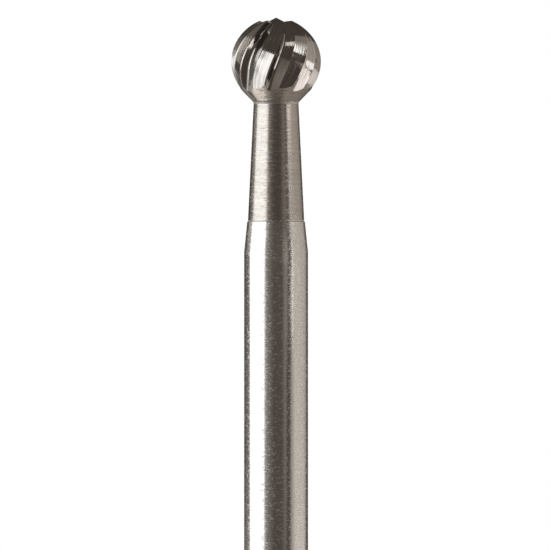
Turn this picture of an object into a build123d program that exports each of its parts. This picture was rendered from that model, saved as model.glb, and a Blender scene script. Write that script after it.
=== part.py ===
from build123d import *
import math
import os

# Round carbide burr on a straight handpiece shank, in millimetres.
# The axis is Z. The free end of the shank lies at the origin and the cutting end points along +Z.

# Whole tool
overall_length = 44.5
shank_diameter = 2.35

# Cutting head: a ball with a blunt point at its tip and a cone behind it
ball_diameter = 3.3
back_cone_latitude = 32.7
back_cone_angle = 44.0

# Point: a low cone in the middle of the tip, in the ring where the teeth begin
point_diameter = 0.24
point_slope = 27.4
valley_diameter = 0.81
tooth_start_diameter = 1.28

# Flutes: right-hand spirals, ground over the ball from the point to the back cone
flute_count = 8
flute_lead = 25.0
first_edge_angle = -93.1
flute_depth = 0.231
flute_start_clearance = 0.01
gullet_share = 0.12
floor_round = 0.09
heel_share = 0.49
heel_drop = 0.065
land_width = 0.069
gullet_leaves_angle = 14.0
crest_leaves_angle = 30.0
flute_overrun = 0.1
section_count = 15

# Neck of the carbide blank
carbide_length = 7.46
neck_top_diameter = 1.645
neck_base_diameter = 2.067
neck_root_radius = 0.15

# Film of braze between the carbide and the steel
braze_diameter = 2.04
braze_thickness = 0.04

# Steel shank
shoulder_top_diameter = 2.124
shoulder_angle = 5.7
shoulder_rim_chamfer = 0.015
shank_end_chamfer = 0.15

# Worked out from the sizes above
ball_radius = ball_diameter / 2
tip_z = overall_length
ball_z = tip_z - ball_radius
neck_base_z = tip_z - carbide_length
shoulder_top_z = neck_base_z - braze_thickness
floor_circle_radius = ball_radius - flute_depth
flute_pitch = 2 * math.pi / flute_count


def tan(degrees):
    return math.tan(math.radians(degrees))


def revolved(outline):
    """A solid of revolution about Z, from a closed outline in the XZ plane."""
    return revolve(make_face(outline), Axis.Z)


# Outline of the carbide blank. Heights are above the ball's centre.


def ball_height(radius):
    """The height of the ball's upper side at a distance from the axis."""
    return math.sqrt(ball_radius**2 - radius**2)


def point_height(radius):
    """The height of the point's cone at a distance from the axis."""
    return ball_radius - radius * tan(point_slope)


back_cone_top_radius = ball_radius * math.cos(math.radians(back_cone_latitude))
back_cone_top_height = -ball_radius * math.sin(math.radians(back_cone_latitude))


def at(radius, height):
    return Vector(radius, 0, ball_z + height)


def carbide_blank():
    """The ball, its point, the back cone and the neck, before the flutes are ground."""
    neck_top_radius = neck_top_diameter / 2
    back_cone_length = (back_cone_top_radius - neck_top_radius) / tan(back_cone_angle)
    valley_radius = valley_diameter / 2
    tooth_start_radius = tooth_start_diameter / 2

    tip = at(0, ball_radius)
    valley = at(valley_radius, point_height(valley_radius))
    tooth_start = at(tooth_start_radius, ball_height(tooth_start_radius))
    equator = at(ball_radius, 0)
    back_cone_top = at(back_cone_top_radius, back_cone_top_height)
    neck_top = at(neck_top_radius, back_cone_top_height - back_cone_length)
    neck_base = Vector(neck_base_diameter / 2, 0, neck_base_z)
    neck_centre = Vector(0, 0, neck_base_z)
    return revolved(
        [
            Line(tip, valley),
            Line(valley, tooth_start),
            ThreePointArc(tooth_start, equator, back_cone_top),
            *FilletPolyline(back_cone_top, neck_top, neck_base, radius=neck_root_radius).edges(),
            Line(neck_base, neck_centre),
            Line(neck_centre, tip),
        ]
    )


# Flutes. Each section of the head is a ring of teeth: a rake face, a rounded floor, the flute's far
# side up to the heel, and the relief face from the heel to the next cutting edge.


def circle_then_line(radius, leaves_angle, height):
    """A circle's radius at a height, and below an angle the straight line that leaves it there."""
    leaves_height = -radius * math.sin(math.radians(leaves_angle))
    if height >= leaves_height:
        return math.sqrt(radius**2 - height**2)
    return radius * math.cos(math.radians(leaves_angle)) + (height - leaves_height) * tan(leaves_angle)


flute_start_radius = point_diameter / 2 + flute_start_clearance
flute_start_height = point_height(point_diameter / 2)
flute_start_distance = math.hypot(flute_start_radius, flute_start_height)
floor_meets_angle = math.atan2(flute_start_radius, flute_start_height)
floor_meets_angle += math.acos(floor_circle_radius / flute_start_distance)


def floor_radius(height):
    """The flute's floor: a line from the point to a circle, round it, and straight out."""
    if height > floor_circle_radius * math.cos(floor_meets_angle):
        return flute_start_radius + (flute_start_height - height) / math.tan(floor_meets_angle)
    return circle_then_line(floor_circle_radius, gullet_leaves_angle, height)


def crest_radius(height):
    """The cutting edges: round the ball, and straight out."""
    return circle_then_line(ball_radius, crest_leaves_angle, height)


def polar(radius, angle):
    return Vector(radius * math.cos(angle), radius * math.sin(angle))


def crossing(start_a, end_a, start_b, end_b):
    """The point where two lines of a section meet."""
    along_a = end_a - start_a
    along_b = end_b - start_b
    share = (start_b - start_a).cross(along_b).Z / along_a.cross(along_b).Z
    return start_a + along_a * share


def tooth_section(height):
    """The teeth at a height. Their crests stand just proud of the ball, which trims them to lands."""
    crest = crest_radius(height)
    floor = floor_radius(height)
    heel = crest - (crest - floor) * heel_drop / flute_depth
    twist = math.radians(first_edge_angle) + 2 * math.pi * height / flute_lead
    land = land_width / ball_radius
    gullet_turn = gullet_share * flute_pitch
    heel_turn = heel_share * flute_pitch
    edge_turns = [twist + index * flute_pitch for index in range(flute_count)]
    cutting_edges = [polar(crest, turn) for turn in edge_turns]
    land_starts = [polar(crest, turn - land) for turn in edge_turns]
    gullets = [polar(floor, turn + gullet_turn) for turn in edge_turns]
    heels = [polar(heel, turn + heel_turn) for turn in edge_turns]
    crests = [
        crossing(heels[index - 1], land_starts[index], gullets[index], cutting_edges[index])
        for index in range(flute_count)
    ]
    edges = []
    for index in range(flute_count):
        gullet = gullets[index]
        to_crest = (crests[index] - gullet).normalized()
        to_heel = (heels[index] - gullet).normalized()
        half_opening = math.radians(to_crest.get_angle(to_heel)) / 2
        round_depth = floor_round * (1 - math.sin(half_opening)) / math.cos(half_opening)
        rake_foot = gullet + to_crest * floor_round
        floor_middle = gullet + (to_crest + to_heel).normalized() * round_depth
        heel_foot = gullet + to_heel * floor_round
        edges.append(Line(crests[index], rake_foot))
        edges.append(ThreePointArc(rake_foot, floor_middle, heel_foot))
        edges.append(Line(heel_foot, heels[index]))
        edges.append(Line(heels[index], crests[(index + 1) % flute_count]))
    return Pos(0, 0, ball_z + height) * make_face(edges)


def flute_cutter():
    """All that the grinding wheel takes away: a ring round the ball, less the core of teeth."""
    floor_axis_radius = floor_circle_radius / math.cos(math.radians(gullet_leaves_angle))
    cone_axis_radius = back_cone_top_radius - back_cone_top_height * tan(back_cone_angle)
    runout_height = (floor_axis_radius - cone_axis_radius) / (tan(back_cone_angle) - tan(gullet_leaves_angle))
    lowest = runout_height - flute_overrun
    highest = flute_start_height
    first_turn = math.asin(lowest / ball_radius)
    turn_step = (math.asin(highest / ball_radius) - first_turn) / (section_count - 1)
    heights = [ball_radius * math.sin(first_turn + step * turn_step) for step in range(section_count)]
    core = loft([tooth_section(height) for height in heights])
    ring = Cylinder(ball_diameter, highest - lowest, align=(Align.CENTER, Align.CENTER, Align.MIN))
    return Pos(0, 0, ball_z + lowest) * ring - core


def carbide_head():
    return carbide_blank() - flute_cutter()


def braze_joint():
    disc = Cylinder(braze_diameter / 2, braze_thickness, align=(Align.CENTER, Align.CENTER, Align.MIN))
    return Pos(0, 0, shoulder_top_z) * disc


def steel_shank():
    """The round shank, chamfered at its free end, with a slim shoulder up to the joint."""
    shank_radius = shank_diameter / 2
    shoulder_top_radius = shoulder_top_diameter / 2
    shoulder_length = (shank_radius - shoulder_top_radius) / tan(shoulder_angle)
    outline = Polyline(
        (0, 0, 0),
        (shank_radius - shank_end_chamfer, 0, 0),
        (shank_radius, 0, shank_end_chamfer),
        (shank_radius, 0, shoulder_top_z - shoulder_length),
        (shoulder_top_radius, 0, shoulder_top_z - shoulder_rim_chamfer),
        (shoulder_top_radius - shoulder_rim_chamfer, 0, shoulder_top_z),
        (0, 0, shoulder_top_z),
        (0, 0, 0),
    )
    return revolved(outline.edges())


os.makedirs("parts", exist_ok=True)
export_step(carbide_head(), "parts/carbide_head.step")
export_step(braze_joint(), "parts/braze_joint.step")
export_step(steel_shank(), "parts/steel_shank.step")
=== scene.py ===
import bmesh
import bpy
import cmath
import math
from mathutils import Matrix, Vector


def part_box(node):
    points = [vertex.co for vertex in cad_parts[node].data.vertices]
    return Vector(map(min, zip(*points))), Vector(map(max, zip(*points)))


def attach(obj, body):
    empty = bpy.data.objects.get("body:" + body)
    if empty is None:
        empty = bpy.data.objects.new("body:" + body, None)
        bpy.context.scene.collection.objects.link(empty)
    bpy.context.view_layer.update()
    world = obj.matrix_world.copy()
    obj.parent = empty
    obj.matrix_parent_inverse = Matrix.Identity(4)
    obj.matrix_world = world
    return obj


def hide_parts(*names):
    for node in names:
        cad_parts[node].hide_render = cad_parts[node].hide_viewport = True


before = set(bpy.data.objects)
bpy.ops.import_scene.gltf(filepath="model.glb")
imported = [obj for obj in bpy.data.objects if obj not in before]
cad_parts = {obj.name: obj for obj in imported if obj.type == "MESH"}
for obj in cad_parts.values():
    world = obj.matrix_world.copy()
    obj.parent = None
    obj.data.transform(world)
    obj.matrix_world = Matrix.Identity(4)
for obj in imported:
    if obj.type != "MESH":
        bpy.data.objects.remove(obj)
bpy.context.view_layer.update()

# A round carbide burr: a fluted ball and neck of ground carbide, brazed to a ground steel shank.
# Its shape is worked out in millimetres and radians. Heights in the head are above the ball's centre,
# and those in the braze and the shank are above the shank's free end.

MM = 0.001
TURN = 2 * math.pi

head_low, head_high = (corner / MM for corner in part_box("carbide_head"))
braze_low, braze_high = (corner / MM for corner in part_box("braze_joint"))
shank_low, shank_high = (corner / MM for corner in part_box("steel_shank"))

# Ball, point and back cone, as the solids have them
ball_radius = 1.65
ball_z = head_high.z - ball_radius
back_cone_latitude = math.radians(32.7)
back_cone_angle = math.radians(44.0)
point_slope = math.tan(math.radians(27.4))
point_radius = 0.12
valley_radius = 0.405
tooth_start_radius = 0.64

# Flutes
flute_count = 8
flute_lead = 25.0
first_edge_angle = math.radians(-93.1)
flute_depth = 0.231
flute_start_clearance = 0.01
floor_round = 0.09
heel_drop = 0.065
land_width = 0.069
gullet_leaves_angle = math.radians(14.0)
crest_leaves_angle = math.radians(30.0)
flute_pitch = TURN / flute_count
gullet_turn = 0.12 * flute_pitch
heel_turn = 0.49 * flute_pitch
land_turn = flute_pitch - land_width / ball_radius

# Neck, braze and shank
neck_top_radius = 0.8225
neck_base_radius = 1.0335
neck_root_radius = 0.15
shank_radius = shank_high.x
shoulder_top_radius = 1.062
shoulder_angle = math.radians(5.7)
rim_chamfer = 0.015
end_chamfer = 0.15


# ---- Outlines -------------------------------------------------------------------------------------


def rounded(corner, towards_first, towards_second, reach, count):
    """Points of the arc that rounds a corner off, from one side of it to the other."""
    first = towards_first / abs(towards_first)
    second = towards_second / abs(towards_second)
    half = abs(cmath.phase(second / first)) / 2
    middle = (first + second) / abs(first + second)
    centre = corner + middle * reach / math.cos(half)
    start = corner + first * reach - centre
    sweep = cmath.phase((corner + second * reach - centre) / start)
    return [centre + start * cmath.exp(1j * sweep * step / count) for step in range(count + 1)]


def spread(start, end, count):
    """Values from start to end, both ends included."""
    return [start + (end - start) * step / count for step in range(count + 1)]


def circle_then_line(radius, leaves_angle, height):
    """A circle's radius at a height, and below an angle the straight line that leaves it there."""
    leaves_height = -radius * math.sin(leaves_angle)
    if height >= leaves_height:
        return math.sqrt(radius**2 - height**2)
    return radius * math.cos(leaves_angle) + (height - leaves_height) * math.tan(leaves_angle)


# Where the floor of a flute starts beside the point, and the angle at which it meets its circle
floor_circle_radius = ball_radius - flute_depth
flute_start_radius = point_radius + flute_start_clearance
flute_start_height = ball_radius - point_radius * point_slope
flute_start_distance = math.hypot(flute_start_radius, flute_start_height)
floor_meets_angle = math.atan2(flute_start_radius, flute_start_height)
floor_meets_angle += math.acos(floor_circle_radius / flute_start_distance)


def floor_radius(height):
    """The flute's floor: a line from the point to a circle, round it, and straight out."""
    if height > floor_circle_radius * math.cos(floor_meets_angle):
        return flute_start_radius + (flute_start_height - height) / math.tan(floor_meets_angle)
    return circle_then_line(floor_circle_radius, gullet_leaves_angle, height)


valley_height = ball_radius - valley_radius * point_slope
tooth_start_height = math.sqrt(ball_radius**2 - tooth_start_radius**2)
slope_to_teeth = (tooth_start_height - valley_height) / (tooth_start_radius - valley_radius)


def tip_height(radius):
    """The top of the blank near the axis: the point's cone, then the slope up to the teeth."""
    if radius < valley_radius:
        return ball_radius - radius * point_slope
    return valley_height + (radius - valley_radius) * slope_to_teeth


back_cone_top = ball_radius * cmath.exp(-1j * back_cone_latitude)
back_slope = math.tan(back_cone_angle)


def cone_radius(height):
    """The back cone's radius at a height."""
    return back_cone_top.real + (height - back_cone_top.imag) * back_slope


# ---- One pitch of the flutes ----------------------------------------------------------------------

# How finely each face of a flute is divided, across it
RAKE, FLOOR, FAR_SIDE, RELIEF, LAND = 5, 12, 6, 12, 3
# How finely the head is divided from the tip down: the point, the slope up to the teeth, the length
# of a flute, the back cone, its root and the neck
TIP, SLOPE, ALONG_FLUTE, BACK, ROOT, NECK = 8, 5, 110, 8, 12, 24

# Every flute is inside the blank at the first of these heights, and past the back cone at the second
IN_THE_BALL, PAST_THE_CONE = 1.2, -1.3
HALVINGS = 40


def section(height):
    """One pitch of the ring of teeth at a height, as points about the axis from a cutting edge on."""
    crest = circle_then_line(ball_radius, crest_leaves_angle, height)
    floor = floor_radius(height)
    heel = crest - (crest - floor) * heel_drop / flute_depth
    gullet = cmath.rect(floor, gullet_turn)
    heel_corner = cmath.rect(heel, heel_turn)
    land_start = cmath.rect(crest, land_turn)
    floor_arc = rounded(gullet, crest - gullet, heel_corner - gullet, floor_round, FLOOR)
    points = spread(complex(crest), floor_arc[0], RAKE)[:-1] + floor_arc
    points += spread(floor_arc[-1], heel_corner, FAR_SIDE)[1:]
    points += spread(heel_corner, land_start, RELIEF)[1:]
    points += [cmath.rect(crest, turn) for turn in spread(land_turn, flute_pitch, LAND)[1:]]
    if abs(height) >= ball_radius:
        return points
    ball_here = math.sqrt(ball_radius**2 - height**2)
    return [point * min(1, ball_here / abs(point)) for point in points]


def last_inside(inside, outside, is_inside):
    """The height between two others where a column leaves the blank."""
    for _ in range(HALVINGS):
        middle = (inside + outside) / 2
        if is_inside(middle):
            inside = middle
        else:
            outside = middle
    return inside


def neck_outline(start):
    """From where a flute runs out, down the back cone, round the root and down the neck."""
    back_cone_length = (back_cone_top.real - neck_top_radius) / back_slope
    neck_top = complex(neck_top_radius, back_cone_top.imag - back_cone_length)
    neck_base = complex(neck_base_radius, head_low.z - ball_z)
    up_the_cone = back_cone_top - neck_top
    down_the_neck = neck_base - neck_top
    half = abs(cmath.phase(down_the_neck / up_the_cone)) / 2
    root = rounded(neck_top, up_the_cone, down_the_neck, neck_root_radius / math.tan(half), ROOT)
    cone = spread(start, root[0], BACK)[1:-1]
    neck = spread(root[-1], neck_base, NECK)[1:]
    return cone + root + neck + [complex(0, neck_base.imag)]


def column(index):
    """One column of the head's skin, as (radius and height, angle) pairs from the tip to the base."""

    def radius_at(height):
        return abs(section(height)[index])

    top = last_inside(IN_THE_BALL, flute_start_height, lambda h: h < tip_height(radius_at(h)))
    bottom = last_inside(back_cone_top.imag, PAST_THE_CONE, lambda h: radius_at(h) < cone_radius(h))
    ground = []
    turns = spread(math.asin(top / ball_radius), math.asin(bottom / ball_radius), ALONG_FLUTE)
    for height in (ball_radius * math.sin(turn) for turn in turns):
        point = section(height)[index]
        angle = cmath.phase(point) + TURN * height / flute_lead
        ground.append((complex(abs(point), height), angle))
    first, first_angle = ground[0]
    last, last_angle = ground[-1]
    valley_end = min(valley_radius, first.real)
    tip_radii = spread(0, valley_end, TIP)[:-1] + spread(valley_end, first.real, SLOPE)[:-1]
    tip = [(complex(radius, tip_height(radius)), first_angle) for radius in tip_radii]
    back = [(point, last_angle) for point in neck_outline(last)]
    return tip + ground + back


# ---- Skins ----------------------------------------------------------------------------------------

# In metres, points nearer than the first of these are joined, and edges shorter than the second go
WELD, SLIVER = 2e-7, 1e-7
# Faces that meet more sharply than this show an edge
SHARP = math.radians(8)

# The map of a skin that the wheel's streaks follow, in millimetres across the flutes and along them
FLUTE_MAP = "along the flute"


def placed(name, mesh, materials):
    """Puts a mesh into the scene as a piece, with its materials."""
    for material in materials:
        mesh.materials.append(material)
    piece = bpy.data.objects.new(name, mesh)
    bpy.context.scene.collection.objects.link(piece)
    return piece


def map_skin(mesh, columns, material_of):
    """Gives each face of a skin its material and its place on the flutes' map."""
    rows = len(columns[0])
    flute_map = mesh.uv_layers.new(name=FLUTE_MAP)
    for face, polygon in enumerate(mesh.polygons):
        index, row = divmod(face, rows - 1)
        polygon.material_index = material_of(index, row)
        corners = ((index, row), (index, row + 1), (index + 1, row + 1), (index + 1, row))
        for loop, (side, level) in zip(polygon.loop_indices, corners):
            place, angle = columns[side % len(columns)][level]
            angle += TURN * (side // len(columns))
            across = (angle - TURN * place.imag / flute_lead) * ball_radius
            flute_map.data[loop].uv = (across, cmath.phase(place) * ball_radius)


def closed_skin(name, columns, materials, material_of):
    """A closed skin from columns of (radius and height, angle), which meet on the axis at both ends."""
    rows = len(columns[0])
    points = []
    for line in columns:
        for place, angle in line:
            across = cmath.rect(place.real, angle)
            points.append((across.real * MM, across.imag * MM, (ball_z + place.imag) * MM))
    faces = []
    for index in range(len(columns)):
        here = index * rows
        there = (index + 1) % len(columns) * rows
        for row in range(rows - 1):
            faces.append((here + row, here + row + 1, there + row + 1, there + row))
    mesh = bpy.data.meshes.new(name)
    mesh.from_pydata(points, [], faces)
    map_skin(mesh, columns, material_of)
    piece = placed(name, mesh, materials)
    work = bmesh.new()
    work.from_mesh(mesh)
    bmesh.ops.remove_doubles(work, verts=work.verts, dist=WELD)
    bmesh.ops.dissolve_degenerate(work, edges=work.edges, dist=SLIVER)
    bmesh.ops.recalc_face_normals(work, faces=work.faces)
    work.to_mesh(mesh)
    work.free()
    mesh.shade_smooth()
    mesh.set_sharp_from_angle(angle=SHARP)
    return piece


# ---- Pieces ---------------------------------------------------------------------------------------

# The places of the head's finishes among its materials
IN_FLUTES, ON_ROUND_FACES, IN_NECK_ROOT = 0, 1, 2
# How finely the turned pieces are divided, round them and down the shank
ROUND_SIDES, SHANK_ROWS = 192, 60


def fluted_head(flutes, round_faces, neck_root):
    """The ball with its flutes and the neck behind it, with a finish for each kind of face."""
    one_pitch = [column(index) for index in range(RAKE + FLOOR + FAR_SIDE + RELIEF + LAND)]
    columns = []
    for flute in range(flute_count):
        start = first_edge_angle + flute * flute_pitch
        columns += [[(place, start + angle) for place, angle in line] for line in one_pitch]
    cut_columns = range(RAKE + FLOOR + FAR_SIDE + RELIEF)
    cut_rows = range(TIP + SLOPE, TIP + SLOPE + ALONG_FLUTE)
    root_rows = range(cut_rows.stop + BACK, cut_rows.stop + BACK + ROOT)

    def material_of(index, row):
        if row in root_rows:
            return IN_NECK_ROOT
        is_cut = row in cut_rows and index % len(one_pitch) in cut_columns
        return IN_FLUTES if is_cut else ON_ROUND_FACES

    finishes = [flutes, round_faces, neck_root]
    return closed_skin("fluted_carbide_head", columns, finishes, material_of)


def turned(name, outline, material):
    """A turned piece from an outline of (radius, height) points that starts and ends on the axis."""
    places = [complex(radius, height - ball_z) for radius, height in outline]
    columns = [[(place, turn) for place in places] for turn in spread(0, TURN, ROUND_SIDES)[:-1]]
    return closed_skin(name, columns, [material], lambda index, row: 0)


def steel_shank(material):
    """The round shank, chamfered at its free end, with a slim shoulder up to the joint."""
    shoulder_length = (shank_radius - shoulder_top_radius) / math.tan(shoulder_angle)
    straight = spread(shank_low.z + end_chamfer, shank_high.z - shoulder_length, SHANK_ROWS)
    outline = [(0, shank_low.z), (shank_radius - end_chamfer, shank_low.z)]
    outline += [(shank_radius, height) for height in straight]
    outline += [(shoulder_top_radius, shank_high.z - rim_chamfer)]
    outline += [(shoulder_top_radius - rim_chamfer, shank_high.z), (0, shank_high.z)]
    return turned("ground_steel_shank", outline, material)


def braze_film(material):
    """The thin film of braze between the carbide and the steel."""
    low, high, radius = braze_low.z, braze_high.z, braze_high.x
    return turned("braze_film", [(0, low), (radius, low), (radius, high), (0, high)], material)


# ---- Materials ------------------------------------------------------------------------------------

# A pattern follows the flutes' map, or stands still in the piece, where down is along the axis
PIECE = "piece"
# Noise keeps near a half, so what lies between these two is spread over a pattern's whole range
NOISE_LOW, NOISE_HIGH = 0.32, 0.68
# A Mix node's sockets for its two colours, and for the one that it gives
DARK, LIGHT, MIXED = 6, 7, 2


def linear(colour):
    """A colour written as sRGB hex, as the linear values that a shader takes."""
    values = []
    for start in (1, 3, 5):
        part = int(colour[start : start + 2], 16) / 255
        values.append(part / 12.92 if part <= 0.04045 else ((part + 0.055) / 1.055) ** 2.4)
    return (*values, 1.0)


def add(tree, kind, settings, inputs):
    """Adds a node with its settings. An input takes a value, or the socket that feeds it."""
    node = tree.nodes.new(kind)
    for name, value in settings.items():
        setattr(node, name, value)
    for name, value in inputs.items():
        if isinstance(value, bpy.types.NodeSocket):
            tree.links.new(value, node.inputs[name])
        else:
            node.inputs[name].default_value = value
    return node


def new_material(name):
    """A material with an empty tree of nodes."""
    material = bpy.data.materials.new(name)
    material.use_nodes = True
    material.node_tree.nodes.clear()
    return material, material.node_tree


def pattern(tree, follows, across, down, detail=2.0):
    """Noise whose grain has a size in millimetres, across and down."""
    if follows == FLUTE_MAP:
        place = add(tree, "ShaderNodeUVMap", {"uv_map": FLUTE_MAP}, {}).outputs["UV"]
        scale = (1 / across, 1 / down, 1.0)
    else:
        place = add(tree, "ShaderNodeTexCoord", {}, {}).outputs["Object"]
        scale = (1 / across / MM, 1 / across / MM, 1 / down / MM)
    scaled = add(tree, "ShaderNodeMapping", {}, {"Vector": place, "Scale": scale})
    inputs = {"Vector": scaled.outputs["Vector"], "Scale": 1.0, "Detail": detail}
    return add(tree, "ShaderNodeTexNoise", {}, inputs).outputs["Fac"]


def bare_metal(name, patterns, tone, dullness, relief, rim_colour="#FFFFFF"):
    """A bare metal, whose patterns give its tone, its dullness and its relief.

    Dullness is a roughness at each of two levels of a pattern, and relief is heights in millimetres.
    The rim colour is what the metal mirrors at a glancing angle.
    """
    material, tree = new_material(name)
    noise = {title: pattern(tree, *sizes) for title, sizes in patterns.items()}

    title, dark, light = tone
    inputs = {"Value": noise[title], "From Min": NOISE_LOW, "From Max": NOISE_HIGH}
    share = add(tree, "ShaderNodeMapRange", {}, inputs).outputs["Result"]
    inputs = {"Factor": share, DARK: linear(dark), LIGHT: linear(light)}
    colour = add(tree, "ShaderNodeMix", {"data_type": "RGBA"}, inputs).outputs[MIXED]

    title, (low, smooth), (high, rough) = dullness
    inputs = {"From Min": low, "From Max": high, "To Min": smooth, "To Max": rough}
    roughness = add(tree, "ShaderNodeMapRange", {}, {"Value": noise[title], **inputs})

    normal = {}
    for title, height in relief:
        inputs = {"Height": noise[title], "Strength": 1.0, "Distance": height * MM, **normal}
        normal = {"Normal": add(tree, "ShaderNodeBump", {}, inputs).outputs["Normal"]}

    inputs = {"Base Color": colour, "Roughness": roughness.outputs["Result"], "Metallic": 1.0}
    inputs["Specular Tint"] = linear(rim_colour)
    metal = add(tree, "ShaderNodeBsdfPrincipled", {}, {**inputs, **normal})
    add(tree, "ShaderNodeOutputMaterial", {}, {"Surface": metal.outputs["BSDF"]})
    return material


def wheel_ground_carbide():
    """Tungsten carbide, diamond ground along each flute: a mirror, broken by fine streaks."""
    # The wheel's own scratches are a few thousandths of a millimetre wide, too fine to show, so they
    # are drawn as streaks and hairlines ten to twenty times as wide
    return bare_metal(
        "diamond ground tungsten carbide",
        {"streaks": (FLUTE_MAP, 0.10, 2.5), "hairlines": (FLUTE_MAP, 0.045, 1.2)},
        tone=("hairlines", "#9F9C99", "#B8B5B2"),
        dullness=("streaks", (NOISE_LOW, 0.06), (NOISE_HIGH, 0.17)),
        relief=[("streaks", 0.0024), ("hairlines", 0.0009)],
        rim_colour="#BCBCBC",
    )


def round_ground_carbide(name, smooth, rough):
    """Tungsten carbide, ground as it turns: fine rings and pits spread the light up and down."""
    # The rings and pits are drawn coarser than the wheel leaves them, so that they show
    return bare_metal(
        name,
        {"rings": (PIECE, 1.2, 0.06), "pits": (PIECE, 0.2, 0.045)},
        tone=("rings", "#A5A19C", "#B3AFAA"),
        dullness=("pits", (0.48, smooth), (0.74, rough)),
        relief=[("rings", 0.003), ("pits", 0.0015)],
        rim_colour="#BCBCBC",
    )


def satin_steel():
    """Hardened steel, centreless ground: a satin skin with a fine, even grain of short strokes."""
    # The strokes are drawn about five times as wide as a fine wheel leaves them, so that they show.
    # The clouds are the slight waviness that makes the edges of reflections uneven.
    return bare_metal(
        "centreless ground hardened steel",
        {"grain": (PIECE, 0.11, 0.055, 3.0), "clouds": (PIECE, 0.5, 0.35)},
        tone=("grain", "#C5C4C2", "#CCCBC9"),
        dullness=("grain", (0.52, 0.17), (0.74, 0.6)),
        relief=[("grain", 0.0018), ("clouds", 0.002)],
        rim_colour="#C8C8C8",
    )


def silver_braze():
    """Silver braze, ground with the joint: a duller, warmer hairline between carbide and steel."""
    return bare_metal(
        "ground silver braze",
        {"mottle": (PIECE, 0.1, 0.05)},
        tone=("mottle", "#ABA59B", "#C9C3BA"),
        dullness=("mottle", (NOISE_LOW, 0.35), (NOISE_HIGH, 0.55)),
        relief=[("mottle", 0.003)],
    )


# ---- Studio pieces --------------------------------------------------------------------------------

BALL_CENTRE = Vector((0, 0, ball_z * MM))

# How far panels hang from the ball, in metres. Where two overlap, the nearer one is mirrored.
IN_FRONT, JUST_IN_FRONT, PANELS, JUST_BEHIND, BEHIND, FAR_BEHIND = 0.95, 0.99, 1.0, 1.05, 1.1, 1.2
BESIDE_THE_BALL = 0.03
BESIDE_THE_SHANK = 0.012
PANEL_STEPS = 12

ROOM_RADIUS = 1.8
FLOOR_RADIUS = 0.3
FLOOR_FADES_FROM = 0.1

PANEL_MAP = "across the panel"


def direction(azimuth, elevation):
    """Away from the burr. Azimuth 0 is towards the camera and 90 to the right, in degrees."""
    turn, tilt = math.radians(azimuth), math.radians(elevation)
    level = math.cos(tilt)
    return Vector((math.sin(turn) * level, -math.cos(turn) * level, math.sin(tilt)))


def glowing(name, colour, left_strength, right_strength=None):
    """A panel's light. It may change in strength from the panel's left side to its right."""
    material, tree = new_material(name)
    strength = left_strength
    if right_strength is not None:
        place = add(tree, "ShaderNodeUVMap", {"uv_map": PANEL_MAP}, {}).outputs["UV"]
        share = add(tree, "ShaderNodeSeparateXYZ", {}, {"Vector": place}).outputs["X"]
        inputs = {"Value": share, "To Min": left_strength, "To Max": right_strength}
        strength = add(tree, "ShaderNodeMapRange", {}, inputs).outputs["Result"]
    light = add(tree, "ShaderNodeEmission", {}, {"Color": linear(colour), "Strength": strength})
    add(tree, "ShaderNodeOutputMaterial", {}, {"Surface": light.outputs["Emission"]})
    return material


def out_of_sight(piece):
    """Keeps a studio piece in the metal's reflections, but out of the picture and casting no shadow."""
    piece.visible_camera = False
    piece.visible_shadow = False


def panel(name, rows, material):
    """A panel through rows of points, each from its left side to its right, from the bottom row up."""
    steps = len(rows[0]) - 1
    faces = []
    for level in range(len(rows) - 1):
        for step in range(steps):
            corner = level * (steps + 1) + step
            faces.append((corner, corner + 1, corner + steps + 2, corner + steps + 1))
    mesh = bpy.data.meshes.new(name)
    mesh.from_pydata([point for row in rows for point in row], [], faces)
    panel_map = mesh.uv_layers.new(name=PANEL_MAP)
    for loop in mesh.loops:
        panel_map.data[loop.index].uv = (loop.vertex_index % (steps + 1) / steps, 0)
    piece = placed(name, mesh, [material])
    out_of_sight(piece)
    return piece


def bent_panel(name, material, left_side, right_side, reach=PANELS, steps=PANEL_STEPS):
    """A panel bent round the burr. Each side is a run of (azimuth, elevation) corners, upwards."""
    rows = []
    for left, right in zip(left_side, right_side):
        turns = spread(left[0], right[0], steps)
        tilts = spread(left[1], right[1], steps)
        places = [direction(turn, tilt) * reach for turn, tilt in zip(turns, tilts)]
        rows.append([BALL_CENTRE + place for place in places])
    panel(name, rows, material)


def upright_card(name, material, left, right, bottom, top):
    """A card that stands beside the shank, bent round it. It doesn't light the floor."""
    rows = []
    for height in (bottom, top):
        foot = Vector((0, 0, height * MM))
        turns = spread(left, right, PANEL_STEPS)
        rows.append([foot + direction(turn, 0) * BESIDE_THE_SHANK for turn in turns])
    panel(name, rows, material).visible_diffuse = False


def simple_mesh(name, shape, **sizes):
    """A mesh of one of Blender's simple shapes."""
    mesh = bpy.data.meshes.new(name)
    work = bmesh.new()
    shape(work, **sizes)
    work.to_mesh(mesh)
    work.free()
    return mesh


def room(material):
    """The dim room round the studio. It darkens reflections and doesn't shade the floor."""
    sphere = bmesh.ops.create_uvsphere
    mesh = simple_mesh("room", sphere, u_segments=48, v_segments=24, radius=ROOM_RADIUS)
    walls = placed("room", mesh, [material])
    walls.location = BALL_CENTRE
    walls.visible_diffuse = False
    out_of_sight(walls)


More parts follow.
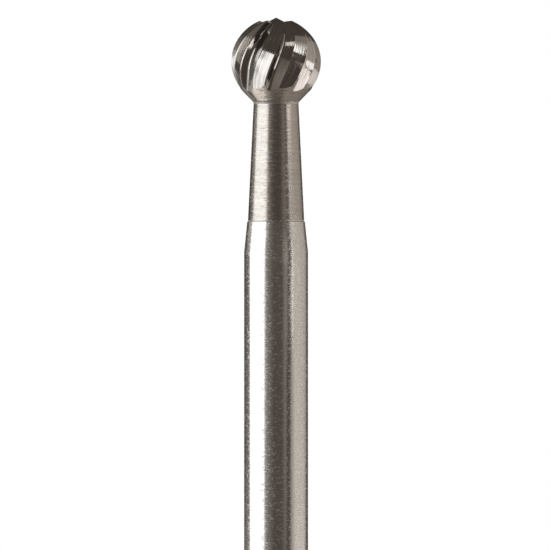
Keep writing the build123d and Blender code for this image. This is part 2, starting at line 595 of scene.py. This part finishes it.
def pale_floor():
    """A pale round table that fades out at its rim. The metal mirrors the studio instead of it."""
    material, tree = new_material("matt white laminate")
    place = add(tree, "ShaderNodeTexCoord", {}, {}).outputs["Object"]
    away = add(tree, "ShaderNodeVectorMath", {"operation": "LENGTH"}, {0: place}).outputs["Value"]
    inputs = {"Value": away, "From Min": FLOOR_FADES_FROM, "From Max": FLOOR_RADIUS}
    fade = add(tree, "ShaderNodeMapRange", {"interpolation_type": "SMOOTHSTEP"}, inputs)
    inputs = {"Base Color": linear("#F4F3F1"), "Roughness": 0.8}
    top = add(tree, "ShaderNodeBsdfPrincipled", {}, inputs)
    clear = add(tree, "ShaderNodeBsdfTransparent", {}, {})
    inputs = {0: fade.outputs["Result"], 1: top.outputs["BSDF"], 2: clear.outputs["BSDF"]}
    mix = add(tree, "ShaderNodeMixShader", {}, inputs)
    add(tree, "ShaderNodeOutputMaterial", {}, {"Surface": mix.outputs["Shader"]})
    circle = bmesh.ops.create_circle
    mesh = simple_mesh("floor", circle, cap_ends=True, segments=96, radius=FLOOR_RADIUS)
    floor = placed("floor", mesh, [material])
    floor.visible_glossy = False


# ---- Studio ---------------------------------------------------------------------------------------


def left_panels():
    """A large softbox at the left with its foot and its spill, and dimmer cards behind it."""
    bent_panel(
        "left_softbox",
        glowing("white softbox", "#FFFFFF", 2.35),
        [(-98, -20), (-109, -8), (-109, 1), (-109, 12), (-109, 28)],
        [(-58, -20), (-47, -8), (-41, 1), (-41, 12), (-36, 28)],
    )
    bent_panel(
        "left_softbox_foot",
        glowing("foot of the softbox", "#FFFFFF", 2.1),
        [(-89, -48), (-84.5, -39), (-73, -27), (-71, -20)],
        [(-83, -48), (-75.5, -40), (-65.5, -30), (-58, -20)],
    )
    bent_panel(
        "left_under_softbox",
        glowing("grey card under the softbox", "#FAFBF7", 0.68),
        [(-104, -48), (-104, -14)],
        [(-49, -48), (-49, -14)],
        JUST_BEHIND,
    )
    bent_panel(
        "left_spill",
        glowing("spill beside the softbox", "#FFF1E4", 0.42, 0.1),
        [(-49, -50), (-49, -14), (-39, 22)],
        [(-8, -50), (-8, -12), (-6, 22)],
        BEHIND,
    )
    bent_panel(
        "left_rear_card",
        glowing("shaded card", "#FFF6EC", 0.85, 0.4),
        [(-147, -3), (-139.5, 0), (-134.5, 7), (-131.5, 11.5), (-129.5, 13)],
        [(-109, -9), (-109, 0), (-109, 7), (-109, 11.5), (-109, 13)],
        JUST_IN_FRONT,
    )
    bent_panel(
        "left_rear_top",
        glowing("rear card", "#FFF9F2", 1.35),
        [(-129, 13), (-129, 20.5), (-130, 24), (-133, 28.5), (-138.5, 32)],
        [(-109, 13), (-109, 20.5), (-109, 24), (-109, 28.5), (-109, 30)],
    )
    bent_panel(
        "left_rear_faint",
        glowing("faint rear card", "#F2E6D8", 0.36),
        [(-174, 18), (-174, 36)],
        [(-122, 18), (-122, 36)],
        JUST_BEHIND,
    )
    low_card = glowing("low rear card", "#E2DAD2", 1.0)
    bent_panel(
        "left_rear_low",
        low_card,
        [(-172, -30), (-163, -9), (-154, -6.5), (-147, -3)],
        [(-100, -30), (-115, -9), (-115, -8), (-115, -7)],
    )
    bent_panel(
        "left_table",
        glowing("lit table at the left", "#FFF8F0", 1.8),
        [(-140, -70), (-142, -40)],
        [(-95, -70), (-92, -40)],
    )
    bent_panel("left_table_shade", low_card, [(-150, -80), (-150, -70)], [(-80, -80), (-80, -70)])
    # This keeps the cards off the left rim of the neck and the shank
    bent_panel(
        "left_rim",
        glowing("gloom behind the softbox", "#FFF6EC", 0.07, 0.24),
        [(-178, -4.5), (-178, 3.2)],
        [(-113, -4.5), (-113, 3.2)],
        IN_FRONT,
    )


def front_panels():
    """The gloom behind the camera and faint cards beside it, for the dark middle of the burr."""
    bent_panel(
        "front_gloom",
        glowing("gloom behind the camera", "#6E665F", 1.0),
        [(-30, 1.2), (-30, 8)],
        [(30, 1.2), (30, 8)],
        FAR_BEHIND,
    )
    bent_panel(
        "front_right_faint",
        glowing("faint front card", "#A89E96", 0.75, 0.95),
        [(27, -4), (27, 2)],
        [(40, -4), (40, 2)],
    )
    bent_panel(
        "front_right_neck",
        glowing("faint front card for the neck", "#A89E96", 1.1, 1.5),
        [(24, 2), (24, 8)],
        [(44, 2), (44, 8)],
    )
    bent_panel(
        "upper_lamp",
        glowing("lamp over the camera", "#FFFDF4", 1.5),
        [(-29, 55), (-29, 64)],
        [(-8, 57), (-8, 66)],
    )


def table_panels():
    """What the burr mirrors of a shaded table below it."""
    bent_panel(
        "right_table",
        glowing("shaded table", "#BDB2A8", 1.0),
        [(88, -78), (80, -32)],
        [(165, -78), (165, -12)],
    )
    bent_panel(
        "under_table",
        glowing("dark table", "#A89E96", 1.0),
        [(-180, -90), (-180, -80)],
        [(180, -90), (180, -80)],
        steps=3 * PANEL_STEPS,
    )


def right_panels():
    """Grey cards at the right, a white one under them, and narrow strip lights at their edge."""
    bent_panel(
        "right_rim",
        glowing("gloom behind", "#6E665F", 1.0),
        [(136, -3), (136, 4)],
        [(178, -3), (178, 4)],
        FAR_BEHIND,
    )
    card = glowing("grey card", "#E4D9CE", 0.93, 0.8)
    bent_panel("right_card", card, [(63, -8), (63, 18), (66, 46)], [(138, -3.1), (138, 4), (122, 46)])
    bent_panel("right_rear_card", card, [(138, 4), (122, 46)], [(170, 4), (135, 32)])
    bent_panel(
        "right_high_card",
        glowing("high card", "#E4D9CE", 0.5),
        [(74, 43), (88, 55)],
        [(122, 46), (100, 55)],
    )
    bent_panel(
        "right_low_card",
        glowing("white card", "#FFF7F3", 2.1, 1.25),
        [(44, -32), (46, -12), (57, -1.5)],
        [(150, -32), (150, -10), (130, -4.6)],
    )
    bent_panel(
        "right_dim_card",
        glowing("dim card", "#E4D9CE", 0.6, 0.9),
        [(53, 7), (53, 16)],
        [(62, 7), (62, 16)],
    )
    strip = glowing("strip light", "#FFFFFF", 2.8)
    bent_panel("right_strip", strip, [(61.4, -0.8), (59.3, 7)], [(63.4, -0.8), (61.5, 7)], IN_FRONT)
    bent_panel(
        "right_strip_top",
        strip,
        [(56, 22.5), (57.5, 27), (61, 31), (66, 35), (72, 39)],
        [(62, 22.5), (66, 27), (70, 31), (74, 35), (77, 39)],
        IN_FRONT,
    )


def near_cards():
    """Small cards close by: the first is mirrored by the ball alone, and the others by the shank."""
    bent_panel(
        "right_reflector",
        glowing("reflector near the ball", "#FFFCFA", 2.1),
        [(54, 2.5), (58, 8), (63, 14.5)],
        [(76, 2.5), (77, 8), (75, 14)],
        BESIDE_THE_BALL,
    )
    flag = glowing("dark flag beside the shank", "#E4D9CE", 0.1)
    upright_card("shank_flag", flag, left=36, right=51.5, bottom=-4, top=32.3)
    shaded_edge = glowing("shaded edge of the shank card", "#E4D9CE", 0.5, 1.15)
    upright_card("shank_card_edge", shaded_edge, left=51.5, right=72, bottom=-4, top=32.3)


def white_world():
    """White behind the burr, for the camera and in reflections, and a softer fill for the floor."""
    world = bpy.data.worlds.new("white background")
    bpy.context.scene.world = world
    world.use_nodes = True
    tree = world.node_tree
    tree.nodes.clear()
    path = add(tree, "ShaderNodeLightPath", {}, {})
    shows_white = path.outputs["Is Camera Ray"]
    for ray in ("Is Glossy Ray", "Is Transmission Ray"):
        inputs = {0: shows_white, 1: path.outputs[ray]}
        either = add(tree, "ShaderNodeMath", {"operation": "MAXIMUM"}, inputs)
        shows_white = either.outputs["Value"]
    inputs = {"Value": shows_white, "To Min": 0.7, "To Max": 1.0}
    strength = add(tree, "ShaderNodeMapRange", {}, inputs).outputs["Result"]
    inputs = {"Color": linear("#FFFFFF"), "Strength": strength}
    background = add(tree, "ShaderNodeBackground", {}, inputs)
    add(tree, "ShaderNodeOutputWorld", {}, {"Surface": background.outputs["Background"]})


def camera():
    """A long lens, level with the upper half of the burr, that cuts the shank off below."""
    frame_width = 20.23 * MM
    middle_x, middle_z = -0.04 * MM, 35.03 * MM
    lens, sensor = 400.0, 36.0
    data = bpy.data.cameras.new("camera")
    data.lens = lens
    data.sensor_width = sensor
    data.clip_start = 0.01
    data.clip_end = 10
    seen_from = bpy.data.objects.new("camera", data)
    bpy.context.scene.collection.objects.link(seen_from)
    seen_from.location = (middle_x, -frame_width * lens / sensor, middle_z)
    seen_from.rotation_euler = (math.pi / 2, 0, 0)
    bpy.context.scene.camera = seen_from


# ---- The burr in its studio -----------------------------------------------------------------------

# The corner of the wheel cuts the root of the neck, and leaves it duller than the rest
round_finish = round_ground_carbide("cylindrically ground tungsten carbide", 0.2, 0.5)
root_finish = round_ground_carbide("tungsten carbide left duller by the wheel's corner", 0.55, 0.7)

head = fluted_head(wheel_ground_carbide(), round_finish, root_finish)
braze = braze_film(silver_braze())
shank = steel_shank(satin_steel())
for piece, node, slot in (
    (head, "carbide_head", "carbide"),
    (braze, "braze_joint", "braze"),
    (shank, "steel_shank", "steel"),
):
    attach(piece, "root")
    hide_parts(node)

pale_floor()
room(glowing("dim room", "#5F5650", 1.0))
left_panels()
front_panels()
table_panels()
right_panels()
near_cards()
white_world()
camera()
bpy.context.scene.view_settings.view_transform = "Standard"
